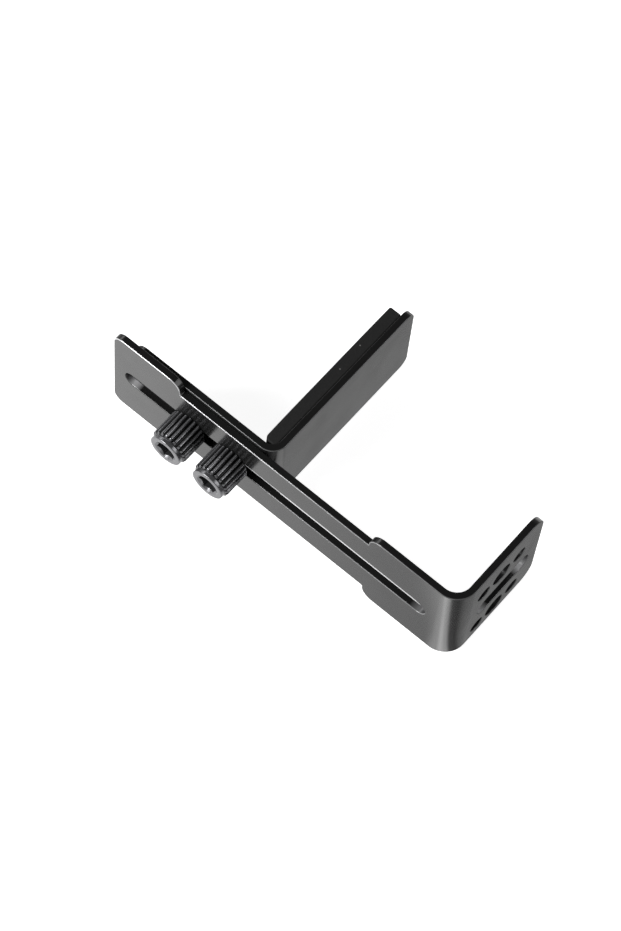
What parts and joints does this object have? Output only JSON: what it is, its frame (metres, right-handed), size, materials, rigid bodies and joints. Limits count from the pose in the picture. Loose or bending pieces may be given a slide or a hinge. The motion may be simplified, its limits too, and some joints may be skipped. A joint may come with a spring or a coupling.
{
  "type": "graphics card support bracket",
  "caption": "Adjustable sheet-metal support for a sagging graphics card: a padded arm slides along a slotted foot bracket and is clamped by knurled thumb screws.",
  "frame": {"origin": "centre of the foot's hole pattern, on the foot's mounting face", "axes": "+X out of the foot's mounting face, so the long leg runs to -X; +Y from the thumb screws towards the tips of foot and arm; +Z across the width of the sheets, up as the bracket lies on its long edges"},
  "size_m": [0.128, 0.076, 0.0395],
  "materials": {
    "black_coated_steel": "semi-gloss black coating",
    "black_screw_steel": "black oxide, ribbed and turned",
    "pad_rubber": "matt, fine-grained",
    "plated_nut_steel": "zinc plated, turned"
  },
  "bodies": {
    "mount": {"mount_bracket": "black_coated_steel"},
    "support": {"support_bracket": "black_coated_steel", "pad": "pad_rubber", "clinch_nut_1": "plated_nut_steel", "clinch_nut_2": "plated_nut_steel"},
    "screw_1": {"thumb_screw_1": "black_screw_steel"},
    "screw_2": {"thumb_screw_2": "black_screw_steel"}
  },
  "joints": [
    {"name": "height", "type": "slide", "parent": "mount", "child": "support", "axis": [1, 0, 0], "range_m": [-0.022, 0.0668]},
    {"name": "screw_1_turn", "type": "hinge", "parent": "support", "child": "screw_1", "pos_m": [-0.0828, -0.02015, 0.0023], "axis": [0, -1, 0], "range_deg": [0, 360]},
    {"name": "screw_2_turn", "type": "hinge", "parent": "support", "child": "screw_2", "pos_m": [-0.0988, -0.02015, 0.0023], "axis": [0, -1, 0], "range_deg": [0, 360]}
  ]
}
